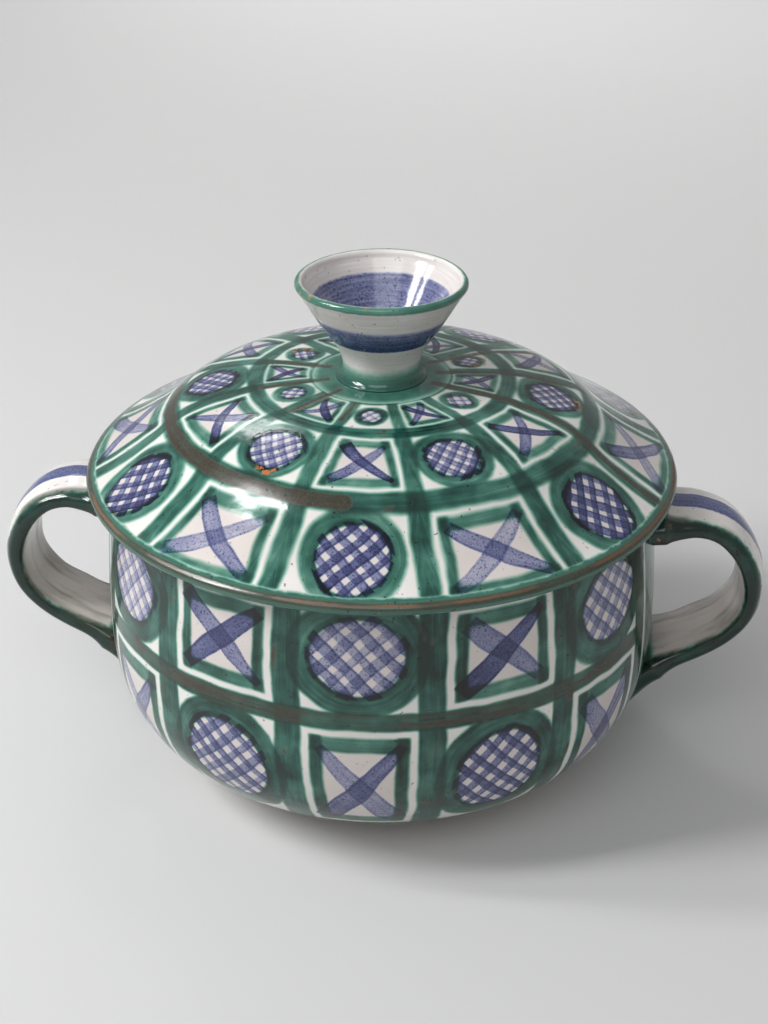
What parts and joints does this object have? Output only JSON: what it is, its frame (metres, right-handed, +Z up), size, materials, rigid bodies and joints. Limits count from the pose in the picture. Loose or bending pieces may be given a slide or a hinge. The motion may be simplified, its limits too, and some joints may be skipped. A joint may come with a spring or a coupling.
{
  "type": "lidded serving pot",
  "caption": "Round glazed earthenware serving pot with side strap handles and a domed lift-off lid carrying a hollow flared knob.",
  "frame": {"origin": "middle of the foot's underside, on the surface that the pot stands on", "axes": "+Z up along the turning axis, X through the two handles, -Y the front"},
  "size_m": [0.3146, 0.236, 0.2055],
  "materials": {
    "bowl_glaze": "glossy tin glaze, hand painted in green and blue checks",
    "handle_glaze": "glossy white tin glaze, blue stripe, green edges",
    "lid_glaze": "glossy tin glaze, hand painted in green and blue checks",
    "flange_clay": "thin white glaze, wiped back to clay where it rubs",
    "knob_glaze": "glossy white tin glaze with blue and green bands"
  },
  "bodies": {
    "pot": {"pot_body": "bowl_glaze", "handle_left": "handle_glaze", "handle_right": "handle_glaze"},
    "lid": {"lid_dome": "lid_glaze", "lid_flange": "flange_clay", "lid_knob": "knob_glaze"}
  },
  "joints": [
    {"name": "lid_lift", "type": "slide", "parent": "pot", "child": "lid", "axis": [0, 0, 1], "range_m": [0, 0.15]}
  ]
}
